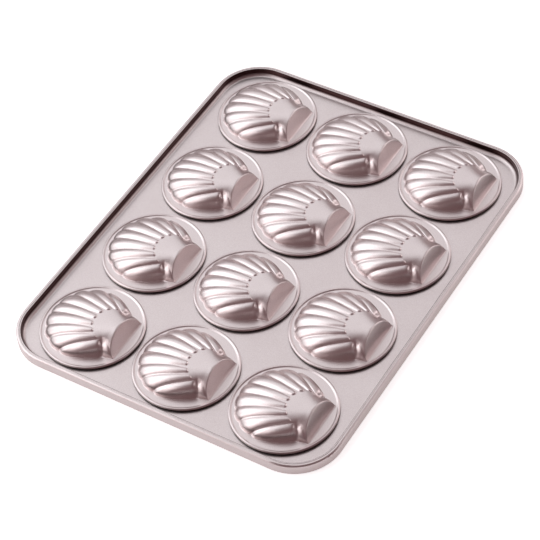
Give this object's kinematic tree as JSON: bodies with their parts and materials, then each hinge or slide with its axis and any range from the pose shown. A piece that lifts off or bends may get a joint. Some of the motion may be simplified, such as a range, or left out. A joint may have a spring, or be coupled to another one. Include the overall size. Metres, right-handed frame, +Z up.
{
  "type": "madeleine pan",
  "caption": "Rectangular sheet-metal baking pan with ribbed scallop-shell cups hooked into round openings, stored bottom up with the shells as domes.",
  "frame": {"origin": "centre of the pan's outline, in the plane of the rim's lower edge that the pan rests on", "axes": "+Z up, the way the shell domes stand; +Y along the pan's length; +X across it, the side that the shells' flat ends face"},
  "size_m": [0.273, 0.348, 0.0185],
  "materials": {
    "tray_metal": "satin metallic coating, pale warm grey",
    "cup_metal": "satin metallic coating, pale warm grey",
    "wire_steel": "drawn steel wire"
  },
  "bodies": {
    "root": {"tray_sheet": "tray_metal", "rim_wire": "wire_steel", "shell_cup_row1_column1": "cup_metal", "shell_cup_row1_column2": "cup_metal", "shell_cup_row1_column3": "cup_metal", "shell_cup_row2_column1": "cup_metal", "shell_cup_row2_column2": "cup_metal", "shell_cup_row2_column3": "cup_metal", "shell_cup_row3_column1": "cup_metal", "shell_cup_row3_column2": "cup_metal", "shell_cup_row3_column3": "cup_metal", "shell_cup_row4_column1": "cup_metal", "shell_cup_row4_column2": "cup_metal", "shell_cup_row4_column3": "cup_metal"}
  },
  "joints": []
}
